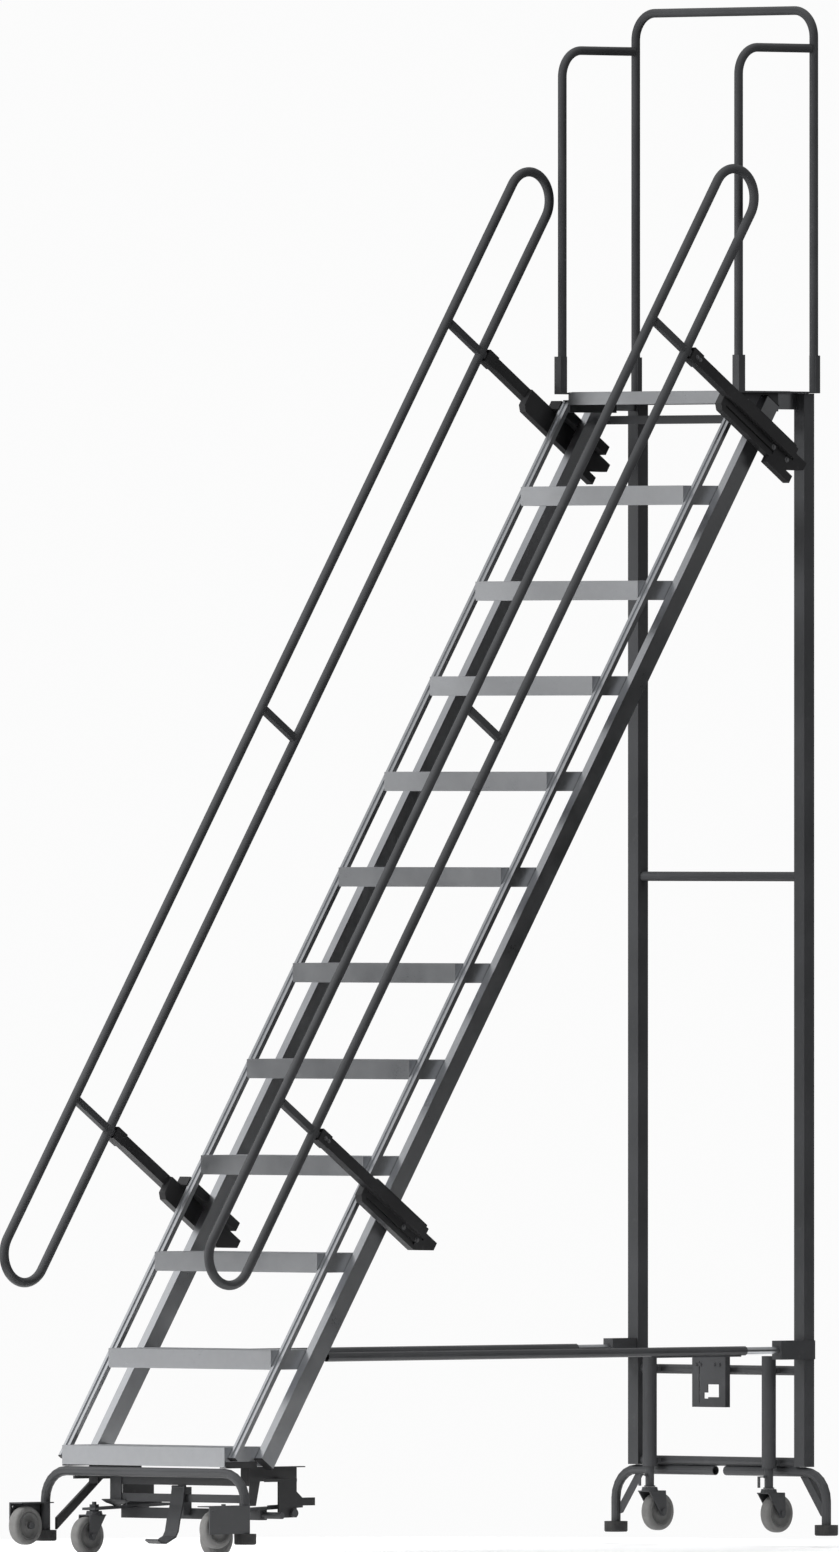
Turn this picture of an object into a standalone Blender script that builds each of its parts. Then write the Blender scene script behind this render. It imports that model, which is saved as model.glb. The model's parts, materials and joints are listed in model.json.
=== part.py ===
"""A rolling platform ladder with eleven steps, modelled as its separate pieces.

Metres, +Z up, the climber faces +Y. Inside the script, lengths are measured from the top front
edge of step 1 (y = 0) and from the level of the feet (z = 0). The empty "ladder" then carries
everything to the middle of its own footprint, with its lowest point at z = 0.
"""

import math

import bmesh
import bpy
from mathutils import Matrix, Vector

# Stair: eleven ten-inch risers and a platform on the twelfth.
RISE = 0.254
RUN = 0.1718
STEPS = 11
STEP_HALF_WIDTH = 0.3048
STEP_DEPTH = 0.178
STEP_SKIRT = 0.0508
SHEET = 0.0025
SLOPE = math.atan2(RISE, RUN)
ALONG = Vector((0, math.cos(SLOPE), math.sin(SLOPE)))
OUT = Vector((0, -math.sin(SLOPE), math.cos(SLOPE)))
UP = Vector((0, 0, 1))
SIDEWAYS = Vector((1, 0, 0))

# Where the whole ladder sits in its own frame.
FRONT_REACH = -0.1490
REAR_REACH = 2.2067
LOWEST = -0.03577
SHIFT = Vector((0, -(FRONT_REACH + REAR_REACH) / 2, -LOWEST))

GAP = 0.0004
FEET_Z = 0.0
REAR_FEET_Z = -0.006
TUBE = 0.0127
WALL = 0.0024

# Side rails of the stair.
RAIL_X = 0.3184
RAIL_HALF = 0.0127
FRONT_RAIL_Y = 0.0303
FRONT_RAIL_DEPTH = 0.0127
BACK_RAIL_Y = FRONT_RAIL_Y + 0.1019
BACK_RAIL_DEPTH = 0.0508

# Platform and guard rails.
PLATFORM_Z = RISE * (STEPS + 1)
PLATFORM_FRONT = 1.899
PLATFORM_REAR = 2.196
GUARD_TUBE = 0.0118
GUARD_X = 0.3343
GUARD_FRONT_X = 0.3310
GUARD_FRONT_Y = 1.902
GUARD_REAR_Y = 2.185
GUARD_SIDE_TOP = 3.964
GUARD_REAR_TOP = 4.066
GUARD_BEND = 0.072

# Rear frame.
POST_X = 0.3119
POST_HALF = 0.01905
REAR_Y = 2.171
REAR_BARS = {"upper": 1.7526, "lower": 0.433, "base": 0.188}
FOOT_TUBE_Z = 0.163
REAR_FOOT_X = 0.395
REAR_BEND = 0.078
BRACE_Z = 0.489
BRACE_X = 0.3167
BRACE_END = 1.939

# Handrail loops, in the two planes x = +-HANDRAIL_X.
HANDRAIL_X = 0.3845
HANDRAIL_LOW = Vector((0, -0.060, 0.759))
HANDRAIL_HIGH = Vector((0, 1.830, 3.562))
HANDRAIL_HALF = 0.0764
ARM_FROM_END = 0.443
ARM_HALF = 0.0095
# Front base.
BASE_TUBE_Z = 0.1863
LEG_X = 0.3749
LEG_Y = 0.0075
LEG_BEND = 0.078
SIDE_PLATE_X = 0.2884
SIDE_PLATE_THICK = 0.0056

# Casters and wheels.
WHEEL_RADIUS = 0.0508
WHEEL_HALF = 0.016
CASTER_DROP = 0.0362
FRONT_STEM = Vector((0.2427, 0.058, 0.0803))
FRONT_AXLE_Z = WHEEL_RADIUS - CASTER_DROP
FRONT_TRAIL = -0.026
REAR_STEM = Vector((0.2235, 2.1263, 0.1172))
REAR_AXLE_Z = 0.0512
REAR_TRAIL = 0.030
TILT_WHEEL = Vector((0.358, -0.0838, 0.0415))
FRAME_PIVOT = Vector((0, 0.265, 0.0786))
PEDAL_PIVOT = Vector((0.020, 0.113, 0.146))

COLOURS = {
    "dark_steel": ((0.075, 0.078, 0.082, 1), 0.42, 0.85),
    "aluminium": ((0.62, 0.63, 0.65, 1), 0.28, 1.0),
    "wheel_poly": ((0.20, 0.20, 0.20, 1), 0.55, 0.0),
    "rubber": ((0.045, 0.045, 0.047, 1), 0.8, 0.0),
}


def clear_scene():
    for item in list(bpy.data.objects):
        bpy.data.objects.remove(item, do_unlink=True)


def material(name):
    found = bpy.data.materials.get(name)
    if found:
        return found
    colour, roughness, metallic = COLOURS[name]
    made = bpy.data.materials.new(name)
    made.use_nodes = True
    shader = made.node_tree.nodes["Principled BSDF"]
    shader.inputs["Base Color"].default_value = colour
    shader.inputs["Roughness"].default_value = roughness
    shader.inputs["Metallic"].default_value = metallic
    return made


# ---- Solids. Each function returns a closed bmesh whose faces point out. ----


def finished(shape):
    bmesh.ops.recalc_face_normals(shape, faces=shape.faces)
    return shape


def box(x, y, z):
    """A block between the two values of each of x, y and z."""
    size = Vector((x[1] - x[0], y[1] - y[0], z[1] - z[0]))
    middle = Vector((x[0] + x[1], y[0] + y[1], z[0] + z[1])) / 2
    shape = bmesh.new()
    bmesh.ops.create_cube(shape, size=1, matrix=Matrix.Translation(middle) @ Matrix.Diagonal((*size, 1)))
    return shape


def extruded(outline, axis, low, high):
    """A flat outline pushed out along an axis. The outline gives the two other coordinates."""
    places = {"x": (1, 2, 0), "y": (0, 2, 1), "z": (0, 1, 2)}[axis]
    shape = bmesh.new()
    rings = []
    for level in (low, high):
        ring = []
        for first, second in outline:
            point = [0.0, 0.0, 0.0]
            point[places[0]], point[places[1]], point[places[2]] = first, second, level
            ring.append(shape.verts.new(point))
        rings.append(ring)
    shape.faces.new(rings[0])
    shape.faces.new(rings[1])
    for i in range(len(outline)):
        j = (i + 1) % len(outline)
        shape.faces.new((rings[0][i], rings[0][j], rings[1][j], rings[1][i]))
    return finished(shape)


def beam(start, end, half_wide, half_tall, side=SIDEWAYS):
    """A straight bar of rectangular section; half_wide is along side."""
    direction = (end - start).normalized()
    tall = direction.cross(side).normalized()
    shape = bmesh.new()
    rings = []
    for point in (start, end):
        corners = ((-1, -1), (1, -1), (1, 1), (-1, 1))
        rings.append(
            [shape.verts.new(point + side * half_wide * a + tall * half_tall * b) for a, b in corners]
        )
    shape.faces.new(rings[0])
    shape.faces.new(rings[1])
    for i in range(4):
        j = (i + 1) % 4
        shape.faces.new((rings[0][i], rings[0][j], rings[1][j], rings[1][i]))
    return finished(shape)


def turned(profile, centre, axis, sides=20):
    """A profile of (radius, height) pairs turned about an axis through centre.

    A profile that starts and ends on the axis is a solid; any other closes on itself, as a ring.
    """
    across = {"x": (Vector((0, 1, 0)), UP), "y": (UP, SIDEWAYS), "z": (SIDEWAYS, Vector((0, 1, 0)))}[axis]
    along = {"x": SIDEWAYS, "y": Vector((0, 1, 0)), "z": UP}[axis]
    shape = bmesh.new()
    columns = []
    for radius, height in profile:
        middle = centre + along * height
        if radius == 0:
            columns.append([shape.verts.new(middle)] * sides)
            continue
        turns = [2 * math.pi * (k + 0.5) / sides for k in range(sides)]
        columns.append(
            [
                shape.verts.new(middle + radius * (across[0] * math.cos(t) + across[1] * math.sin(t)))
                for t in turns
            ]
        )
    solid = profile[0][0] == 0
    last = len(profile) - 1 if solid else len(profile)
    for i in range(last):
        lower, upper = columns[i], columns[(i + 1) % len(profile)]
        for k in range(sides):
            m = (k + 1) % sides
            corners = [lower[k], lower[m], upper[m], upper[k]]
            shape.faces.new(list(dict.fromkeys(corners)))
    return finished(shape)


def rod(start, end, radius, sides=14):
    """A solid round bar between two points."""
    return swept([start, end], radius, 0, sides)


def swept(path, radius, bore=0, sides=12):
    """A round bar or, with a bore radius, an open-ended tube along a path of points."""
    directions = [(b - a).normalized() for a, b in zip(path, path[1:])]
    tangents = [directions[0]]
    tangents += [(a + b).normalized() for a, b in zip(directions, directions[1:])]
    tangents.append(directions[-1])
    side = directions[0].orthogonal().normalized()
    if abs(directions[0].x) < 0.5:
        side = SIDEWAYS.copy()
    shape = bmesh.new()
    outer, inner = [], []
    for i, point in enumerate(path):
        tangent = tangents[i]
        side = (side - tangent * side.dot(tangent)).normalized()
        other = tangent.cross(side)
        stretch = Vector((0, 0, 0))
        widen = 1.0
        if 0 < i < len(path) - 1:
            turn = directions[i] - directions[i - 1]
            if turn.length > 1e-6:
                stretch = turn.normalized()
                widen = 1 / max(0.5, tangent.dot(directions[i]))
        for ring, size in ((outer, radius), (inner, bore)):
            if size == 0:
                continue
            spokes = []
            for k in range(sides):
                t = 2 * math.pi * (k + 0.5) / sides
                spoke = size * (side * math.cos(t) + other * math.sin(t))
                spoke += stretch * spoke.dot(stretch) * (widen - 1)
                spokes.append(shape.verts.new(point + spoke))
            ring.append(spokes)
    for ring in (outer, inner):
        for a, b in zip(ring, ring[1:]):
            for k in range(sides):
                m = (k + 1) % sides
                shape.faces.new((a[k], a[m], b[m], b[k]))
    for end in (0, -1):
        if not bore:
            shape.faces.new(outer[end])
            continue
        for k in range(sides):
            m = (k + 1) % sides
            shape.faces.new((outer[end][k], outer[end][m], inner[end][m], inner[end][k]))
    return finished(shape)


def rounded(corners, bend, steps=6):
    """A path through corner points with each inner corner turned into an arc of radius bend."""
    path = [corners[0]]
    for before, corner, after in zip(corners, corners[1:], corners[2:]):
        back = (before - corner).normalized()
        on = (after - corner).normalized()
        half_angle = back.angle(on) / 2
        reach = bend / math.tan(half_angle)
        centre = corner + (back + on).normalized() * bend / math.sin(half_angle)
        first = corner + back * reach - centre
        turn = (corner + on * reach - centre).rotation_difference(first).inverted()
        axis, angle = turn.to_axis_angle()
        for k in range(steps + 1):
            path.append(centre + Matrix.Rotation(angle * k / steps, 3, axis) @ first)
    path.append(corners[-1])
    return path


# ---- Objects ----


def helper(shape):
    """A hidden object that a Boolean reads."""
    mesh = bpy.data.meshes.new("helper")
    shape.to_mesh(mesh)
    shape.free()
    item = bpy.data.objects.new("helper", mesh)
    bpy.context.scene.collection.objects.link(item)
    item.hide_render = True
    item.display_type = "WIRE"
    return item


def combine(shapes, cuts):
    """One mesh: the shapes joined by Boolean union, less the cuts."""
    base = helper(shapes[0])
    others = [(helper(shape), "UNION") for shape in shapes[1:]]
    others += [(helper(shape), "DIFFERENCE") for shape in cuts]
    for other, operation in others:
        step = base.modifiers.new(operation, "BOOLEAN")
        step.operation = operation
        step.object = other
    graph = bpy.context.evaluated_depsgraph_get()
    graph.update()
    mesh = bpy.data.meshes.new_from_object(base.evaluated_get(graph))
    for item in [base] + [other for other, _ in others]:
        bpy.data.objects.remove(item, do_unlink=True)
    return mesh


def piece(name, look, shapes, cuts=(), pivot=Vector((0, 0, 0)), parent=None):
    """One named piece of the ladder, with its origin at pivot."""
    mesh = combine(list(shapes), list(cuts))
    mesh.name = name
    mesh.transform(Matrix.Translation(-pivot))
    mesh.materials.clear()
    mesh.materials.append(material(look))
    mesh.shade_smooth()
    mesh.set_sharp_from_angle(angle=math.radians(35))
    item = bpy.data.objects.new(name, mesh)
    bpy.context.scene.collection.objects.link(item)
    holder = parent or bpy.data.objects["ladder"]
    item.parent = holder
    item.location = pivot - Vector(holder.get("pivot", (0, 0, 0)))
    item["pivot"] = pivot
    return item


def sides():
    """(name, sign) of the left and right sides, as the climber sees them."""
    return (("left", -1), ("right", 1))


def at(side, point):
    """The point on the right side, or its mirror image on the left."""
    return Vector((side * point[0], point[1], point[2]))


# ---- Stair ----


def rail_face(front, z):
    """The y of a rail's front face at a height."""
    return front + (z - RISE) * RUN / RISE


def rails():
    for name, side in sides():
        low = Vector((side * RAIL_X, rail_face(FRONT_RAIL_Y, 0.2277), 0.2277))
        high = Vector((side * RAIL_X, rail_face(FRONT_RAIL_Y, 3.025), 3.025))
        inward = -OUT * FRONT_RAIL_DEPTH / 2
        groove = beam(low + OUT * 0.002 - ALONG * 0.01, high + OUT * 0.002 + ALONG * 0.01, 0.004, 0.0055)
        body = beam(low + inward, high + inward, RAIL_HALF, FRONT_RAIL_DEPTH / 2)
        piece(f"front_rail_{name}", "aluminium", [body], [groove])

        low = Vector((side * RAIL_X, rail_face(BACK_RAIL_Y, 0.2257), 0.2257))
        high = Vector((side * RAIL_X, rail_face(BACK_RAIL_Y, 3.0347), 3.0347))
        inward = -OUT * BACK_RAIL_DEPTH / 2
        body = beam(low + inward, high + inward, RAIL_HALF, BACK_RAIL_DEPTH / 2)
        hollow = beam(
            low + inward - ALONG * 0.01,
            high + inward + ALONG * 0.01,
            RAIL_HALF - 0.003,
            BACK_RAIL_DEPTH / 2 - 0.003,
        )
        piece(f"back_rail_{name}", "aluminium", [body], [hollow])


def steps():
    """Each step is a folded pan, open underneath, with a rear skirt half as tall as the front."""
    for number in range(1, STEPS + 1):
        nose, top = (number - 1) * RUN, number * RISE
        x = (-STEP_HALF_WIDTH, STEP_HALF_WIDTH)
        low = top - STEP_SKIRT
        rear = nose + STEP_DEPTH
        shell = box(x, (nose, rear), (low, top))
        hollow = box(
            (x[0] + SHEET, x[1] - SHEET),
            (nose + SHEET, rear - SHEET),
            (low - 0.01, top - SHEET),
        )
        rear_notch = box((x[0] - 0.01, x[1] + 0.01), (rear - 0.012, rear + 0.01), (low - 0.01, low + 0.022))
        piece(f"step_{number:02d}", "aluminium", [shell], [hollow, rear_notch])


def platform():
    """A folded pan with low front and rear skirts, deeper end flanges, and a bar across below it."""
    x = (-STEP_HALF_WIDTH, STEP_HALF_WIDTH)
    sheet = box(x, (PLATFORM_FRONT, PLATFORM_REAR), (PLATFORM_Z - SHEET, PLATFORM_Z))
    front = box(x, (PLATFORM_FRONT, PLATFORM_FRONT + SHEET), (PLATFORM_Z - 0.0337, PLATFORM_Z))
    rear = box(x, (PLATFORM_REAR - SHEET, PLATFORM_REAR), (PLATFORM_Z - 0.0320, PLATFORM_Z))
    end_rear = REAR_Y - POST_HALF - GAP
    flange = [(PLATFORM_FRONT, PLATFORM_Z), (PLATFORM_FRONT, PLATFORM_Z - 0.054), (2.080, PLATFORM_Z - 0.054)]
    flange += [(2.080, PLATFORM_Z - 0.0485), (end_rear, PLATFORM_Z - 0.0485), (end_rear, PLATFORM_Z)]
    ends = [
        extruded(flange, "x", *sorted((side * STEP_HALF_WIDTH, side * (STEP_HALF_WIDTH - SHEET))))
        for _, side in sides()
    ]
    piece("platform", "aluminium", [sheet, front, rear] + ends)
    piece(
        "platform_cross_bar",
        "dark_steel",
        [box((-0.3030, 0.3030), (2.0300, 2.0520), (2.9630, 2.9856))],
    )


def guard_rails():
    """A rear U and two side rails in round tube, each tube's foot in a square socket."""
    floor = PLATFORM_Z - 0.005
    socket_top = 3.144

    def socket(x, y):
        return box((x - 0.0125, x + 0.0125), y, (floor, socket_top))

    def bore(x, y):
        low, high = Vector((x, y, floor - 0.02)), Vector((x, y, socket_top + 0.01))
        return rod(low, high, GUARD_TUBE - WALL + 0.0002, 12)

    rear_feet = [(side * GUARD_X, GUARD_REAR_Y) for _, side in sides()]
    path = rounded(
        [
            Vector((-GUARD_X, GUARD_REAR_Y, floor + 0.001)),
            Vector((-GUARD_X, GUARD_REAR_Y, GUARD_REAR_TOP)),
            Vector((GUARD_X, GUARD_REAR_Y, GUARD_REAR_TOP)),
            Vector((GUARD_X, GUARD_REAR_Y, floor + 0.001)),
        ],
        GUARD_BEND,
    )
    piece(
        "guard_rail_rear",
        "dark_steel",
        [swept(path, GUARD_TUBE, GUARD_TUBE - WALL)]
        + [socket(x, (y - 0.005, y + 0.012)) for x, y in rear_feet],
        [bore(x, y) for x, y in rear_feet],
    )
    for name, side in sides():
        x = side * GUARD_FRONT_X
        path = rounded(
            [
                Vector((x, GUARD_FRONT_Y, floor + 0.001)),
                Vector((x, GUARD_FRONT_Y, GUARD_SIDE_TOP)),
                Vector((x, GUARD_REAR_Y - GUARD_TUBE - GAP, GUARD_SIDE_TOP)),
            ],
            GUARD_BEND,
        )
        strip = box(
            sorted((side * (STEP_HALF_WIDTH + GAP), side * 0.3460)),
            (GUARD_FRONT_Y - 0.014, GUARD_REAR_Y - 0.0134),
            (floor, floor + 0.004),
        )
        piece(
            f"guard_rail_{name}",
            "dark_steel",
            [
                swept(path, GUARD_TUBE, GUARD_TUBE - WALL),
                socket(side * GUARD_X, (GUARD_FRONT_Y - 0.0145, GUARD_FRONT_Y + 0.0095)),
                strip,
            ],
            [bore(x, GUARD_FRONT_Y)],
        )


# ---- Rear frame ----


def rear_frame():
    post_top = PLATFORM_Z - 0.0058
    inner = POST_X - POST_HALF - GAP
    for name, side in sides():
        x = side * POST_X
        wall = POST_HALF - WALL
        post = box((x - POST_HALF, x + POST_HALF), (REAR_Y - POST_HALF, REAR_Y + POST_HALF), (0.1764, post_top))
        hollow = box((x - wall, x + wall), (REAR_Y - wall, REAR_Y + wall), (0.16, post_top + 0.01))
        piece(f"rear_post_{name}", "dark_steel", [post], [hollow])
    ends = [Vector((-inner, REAR_Y, 0)), Vector((inner, REAR_Y, 0))]
    level = Vector((0, 0, REAR_BARS["upper"]))
    bar = swept([end + level for end in ends], TUBE, TUBE - WALL)
    piece("rear_cross_bar", "dark_steel", [bar])

    level = Vector((0, 0, REAR_BARS["lower"]))
    bar = swept([end + level for end in ends], TUBE, TUBE - WALL)
    plate = box((-0.0623, 0.0623), (2.1245, 2.1275), (0.3332, 0.4710))
    plate_flanges = [
        box(sorted((side * 0.0623, side * 0.0593)), (2.1245, 2.1425), (0.3332, 0.4710)) for _, side in sides()
    ]
    stand_offs = [
        box(sorted((side * 0.030, side * 0.045)), (2.126, 2.1605), (0.427, 0.439)) for _, side in sides()
    ]
    keyhole = [
        box((-0.0040, 0.0380), (2.10, 2.15), (0.3600, 0.3940)),
        box((-0.0180, -0.0020), (2.10, 2.15), (0.3560, 0.3720)),
        box((-0.0370, -0.0340), (2.10, 2.15), (0.345, 0.455)),
    ]
    piece("latch_cross_bar", "dark_steel", [bar, plate] + plate_flanges + stand_offs, keyhole)

    level = Vector((0, 0, REAR_BARS["base"]))
    shapes = [swept([end + level for end in ends], TUBE, 0)]
    for _, side in sides():
        path = rounded(
            [
                at(side, (0.0200, REAR_Y, FOOT_TUBE_Z)),
                at(side, (REAR_FOOT_X, REAR_Y, FOOT_TUBE_Z)),
                at(side, (REAR_FOOT_X, REAR_Y, REAR_FEET_Z + 0.0289)),
            ],
            REAR_BEND,
        )
        shapes.append(swept(path, TUBE, TUBE - WALL))
        x = sorted((side * 0.250, side * 0.285))
        shapes.append(box(x, (REAR_Y - 0.005, REAR_Y + 0.005), (0.1735, 0.181)))
        web = [(0.294, 0.1525), (0.3225, 0.1525), (0.3845, 0.0680), (0.3845, 0.0420), (0.372, 0.0460)]
        lip = [(0.3185, 0.1525), (0.3225, 0.1525), (0.3845, 0.0680), (0.3805, 0.0680)]
        for outline, depth in ((web, 0.003), (lip, 0.020)):
            outline = [(side * x, z) for x, z in outline]
            shapes.append(extruded(outline, "y", REAR_Y + 0.002, REAR_Y + 0.002 + depth))
    piece("rear_base", "dark_steel", shapes)

    for name, side in sides():
        foot(f"rear_foot_{name}", at(side, (REAR_FOOT_X, REAR_Y, REAR_FEET_Z)), 0.0315)


def foot(name, centre, radius):
    """A rubber pad with a turned-in lower edge."""
    top = 0.0285
    profile = [(0, 0), (radius - 0.003, 0), (radius, 0.003), (radius, top), (0, top)]
    piece(name, "rubber", [turned(profile, centre, "z", 24)])


def braces():
    """On each side a bracket round the post holds a rod that telescopes into a brace tube."""
    front, rear = 2.0617, 2.1906
    tall = (0.4640, 0.5146)
    for name, side in sides():

        def across(low, high):
            return sorted((side * low, side * high))

        shapes = [
            box(across(0.3313, 0.3343), (front, rear), tall),
            box(across(0.2990, 0.3343), (front, front + 0.003), tall),
            box(across(0.2990, 0.3020), (front, 2.1515), tall),
            box(across(0.2990, 0.3343), (2.1485, 2.1515), tall),
        ]
        piece(f"post_bracket_{name}", "dark_steel", shapes)
        rod_ends = [at(side, (BRACE_X, y, BRACE_Z)) for y in (1.75, front - GAP)]
        piece(f"brace_rod_{name}", "aluminium", [rod(*rod_ends, 0.0098, 12)])
        tube_ends = [at(side, (BRACE_X, y, BRACE_Z)) for y in (0.366, BRACE_END)]
        strip = box(across(BRACE_X - 0.006, BRACE_X + 0.006), (1.584, BRACE_END - 0.018), (0.4735, 0.4785))
        bore_ends = [at(side, (BRACE_X, y, BRACE_Z)) for y in (1.50, BRACE_END + 0.01)]
        bore = rod(*bore_ends, 0.0103, 12)
        piece(f"brace_tube_{name}", "dark_steel", [swept(tube_ends, TUBE, 0.0103), strip], [bore])


# ---- Handrails ----


def loop_point(along, across):
    """A point of the loop's plane, by distance up from its lower bend's centre and out from its middle."""
    direction = (HANDRAIL_HIGH - HANDRAIL_LOW).normalized()
    outward = SIDEWAYS.cross(direction)
    return HANDRAIL_LOW + direction * along + outward * across


def handrails():
    """Each loop is one bent tube whose two ends meet in its lower straight, with struts across."""
    length = (HANDRAIL_HIGH - HANDRAIL_LOW).length
    outward = SIDEWAYS.cross((HANDRAIL_HIGH - HANDRAIL_LOW).normalized())
    for name, side in sides():
        shift = Vector((side * HANDRAIL_X, 0, 0))
        ends = ((0, -1), (length, 1))
        path = [loop_point(length * 0.45 + 0.0006, -HANDRAIL_HALF)]
        for along, turn in reversed(ends):
            for k in range(13):
                angle = math.pi * k / 12
                path.append(
                    loop_point(
                        along + turn * HANDRAIL_HALF * math.sin(angle),
                        -turn * HANDRAIL_HALF * math.cos(angle),
                    )
                )
        path.append(loop_point(length * 0.45, -HANDRAIL_HALF))
        shapes = [swept([point + shift for point in path], TUBE, TUBE - WALL, 10)]
        bite = HANDRAIL_HALF - 0.0082
        shapes.append(
            beam(
                loop_point(length / 2, bite) + shift,
                loop_point(length / 2, -bite) + shift,
                ARM_HALF,
                ARM_HALF,
            )
        )
        for along in (ARM_FROM_END, length - ARM_FROM_END):
            shapes.append(
                beam(loop_point(along, bite) + shift, loop_point(along, -bite) + shift, ARM_HALF, ARM_HALF)
            )
            shapes.append(
                beam(
                    loop_point(along, -HANDRAIL_HALF - 0.0082) + shift,
                    loop_point(along, -HANDRAIL_HALF - 0.330) + shift,
                    ARM_HALF,
                    ARM_HALF,
                )
            )
        piece(f"handrail_{name}", "dark_steel", shapes, pivot=shift + loop_point(length / 2, 0))
        for place, along in (("lower", ARM_FROM_END), ("upper", length - ARM_FROM_END)):
            sleeve(f"handrail_sleeve_{place}_{name}", side, along, place == "upper")


def sleeve(name, side, along, high):
    """A square sleeve for the loop's arm, the slotted plate below it, and the bar beside the rail."""
    mouth = -HANDRAIL_HALF - 0.0145
    outward = SIDEWAYS.cross((HANDRAIL_HIGH - HANDRAIL_LOW).normalized())
    rail = OUT.dot(Vector((0, FRONT_RAIL_Y, RISE)) - loop_point(along, 0)) / OUT.dot(outward)
    plate_start = rail + (0.092 if high else 0.038)
    plate_x = (0.357, 0.380)

    def bar(x, up, across):
        """A block between two x, two heights up the loop and two distances out from its middle."""
        middle = SIDEWAYS * side * sum(x) / 2
        start, end = [loop_point(along + sum(up) / 2, reach) + middle for reach in across]
        return beam(start, end, (x[1] - x[0]) / 2, (up[1] - up[0]) / 2)

    corners = [(0.014, plate_start), (-0.036, plate_start), (-0.049, plate_start - 0.014), (-0.049, -0.566)]
    corners += [(-0.009, -0.628), (0.014, -0.628)]
    outline = [loop_point(along + up, across)[1:] for up, across in corners]
    shapes = [
        bar((0.371, 0.398), (-0.0125, 0.0185), (mouth, -0.566)),
        bar((0.3695, 0.400), (-0.0150, 0.0210), (mouth, mouth - 0.040)),
        extruded(outline, "x", *sorted(side * x for x in plate_x)),
        bar((0.3315, 0.3720), (0.0120, 0.0380), (rail + 0.003, -0.578)),
    ]
    if high:
        shapes.append(bar(plate_x, (-0.067, -0.045), (-0.501, -0.602)))
    bore = bar((0.3737, 0.3953), (-0.0100, 0.0160), (mouth + 0.02, -0.580))
    slot = bar((0.375, 0.385), (-0.0385, -0.0295), (plate_start - 0.020, plate_start - 0.237))
    piece(name, "dark_steel", shapes, [bore, slot])


# ---- Front base ----


def front_base():
    """One bent tube on two feet, with a bracket for a tilt wheel welded in front of each leg."""
    path = rounded(
        [
            Vector((-LEG_X, LEG_Y, FEET_Z + 0.0289)),
            Vector((-LEG_X, LEG_Y, BASE_TUBE_Z)),
            Vector((LEG_X, LEG_Y, BASE_TUBE_Z)),
            Vector((LEG_X, LEG_Y, FEET_Z + 0.0289)),
        ],
        LEG_BEND,
    )
    shapes = [swept(path, TUBE, TUBE - WALL, 14)]
    cuts = []
    for name, side in sides():
        foot(f"front_foot_{name}", at(side, (LEG_X, LEG_Y, FEET_Z)), 0.0294)
        base_side(name, side)
        bracket, holes = wheel_bracket(side)
        shapes += bracket
        cuts += holes
    piece("front_base", "dark_steel", shapes, cuts)


def base_side(name, side):
    """The plate that hangs from a longeron and carries the caster frame's pivot."""
    inner = SIDE_PLATE_X
    outer = SIDE_PLATE_X + SIDE_PLATE_THICK

    def plate(outline, low, high):
        return extruded(outline, "x", *sorted((side * low, side * high)))

    def block(x, y, z):
        return box(sorted((side * x[0], side * x[1])), y, z)

    side_plate = [
        (0.096, 0.2010),
        (0.279, 0.2010),
        (0.279, 0.067),
        (0.213, 0.067),
        (0.213, 0.1635),
        (0.096, 0.1635),
    ]
    top = [(0.283, 0.004), (0.308, 0.004), (0.308, 0.118), (0.305, 0.118), (0.305, 0.300), (0.283, 0.300)]
    tongue = [(0.275, 0.098), (0.347, 0.098), (0.347, 0.119), (0.300, 0.119), (0.278, 0.136)]
    shapes = [
        plate(side_plate, inner, outer),
        plate(tongue, inner, outer),
        extruded([(side * x, y) for x, y in top], "z", 0.1994, 0.2022),
        block((0.3056, 0.3084), (0.0045, 0.1175), (0.2000, 0.2160)),
        block((0.2680, 0.3019), (0.0965, 0.1005), (0.1520, 0.2000)),
        block((0.2900, 0.3620), (0.196, 0.2125), (0.1632, 0.1713)),
        block((0.3540, 0.3620), (0.097, 0.2125), (0.1632, 0.1713)),
    ]
    if side < 0:
        diagonal = [(0.0300, 0.0300), (0.0300, 0.0610), (0.1710, 0.1670), (0.2070, 0.1670)]
        shapes.append(plate(diagonal, 0.3540, 0.3620))
        keeper = [(0.275, 0.115), (0.275, 0.151), (0.325, 0.151), (0.325, 0.115)]
        shapes.append(plate(keeper, inner, outer))
    else:
        link = [(0.115, 0.2005), (0.156, 0.2005), (0.132, 0.099), (0.111, 0.099)]
        shapes.append(plate(link, 0.2825, inner + 0.001))
    bore = rod(at(side, (0.27, *FRAME_PIVOT[1:])), at(side, (0.31, *FRAME_PIVOT[1:])), 0.0066, 16)
    piece(f"base_side_{name}", "dark_steel", shapes, [bore])


def wheel_bracket(side):
    """A flange, an outer plate and the tilt wheel's axle, and the holes through them."""
    y = (-0.111, 0.0095) if side < 0 else (-0.139, 0.0080)

    def block(x, z):
        return box(sorted((side * x[0], side * x[1])), y, z)

    axle = [at(side, (x, *TILT_WHEEL[1:])) for x in (0.3300, 0.3340, 0.3385, 0.3755, 0.3900)]
    shapes = [
        block((0.345, 0.3912), (0.1000, 0.1030)),
        block((0.3868, 0.3912), (0.0290, 0.1030)),
        rod(axle[0], axle[2], 0.009, 6),
        rod(axle[1], axle[4], 0.0060),
        rod(axle[3], axle[4], 0.011),
    ]
    leg = rod(at(side, (LEG_X, LEG_Y, 0.02)), at(side, (LEG_X, LEG_Y, 0.105)), TUBE - WALL + 0.0002, 14)
    bolt_hole = rod(at(side, (0.37, y[0] + 0.010, 0.0915)), at(side, (0.41, y[0] + 0.010, 0.0915)), 0.003, 8)
    return shapes, [leg, bolt_hole]


# ---- Casters, wheels and the parts that move ----


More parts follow.
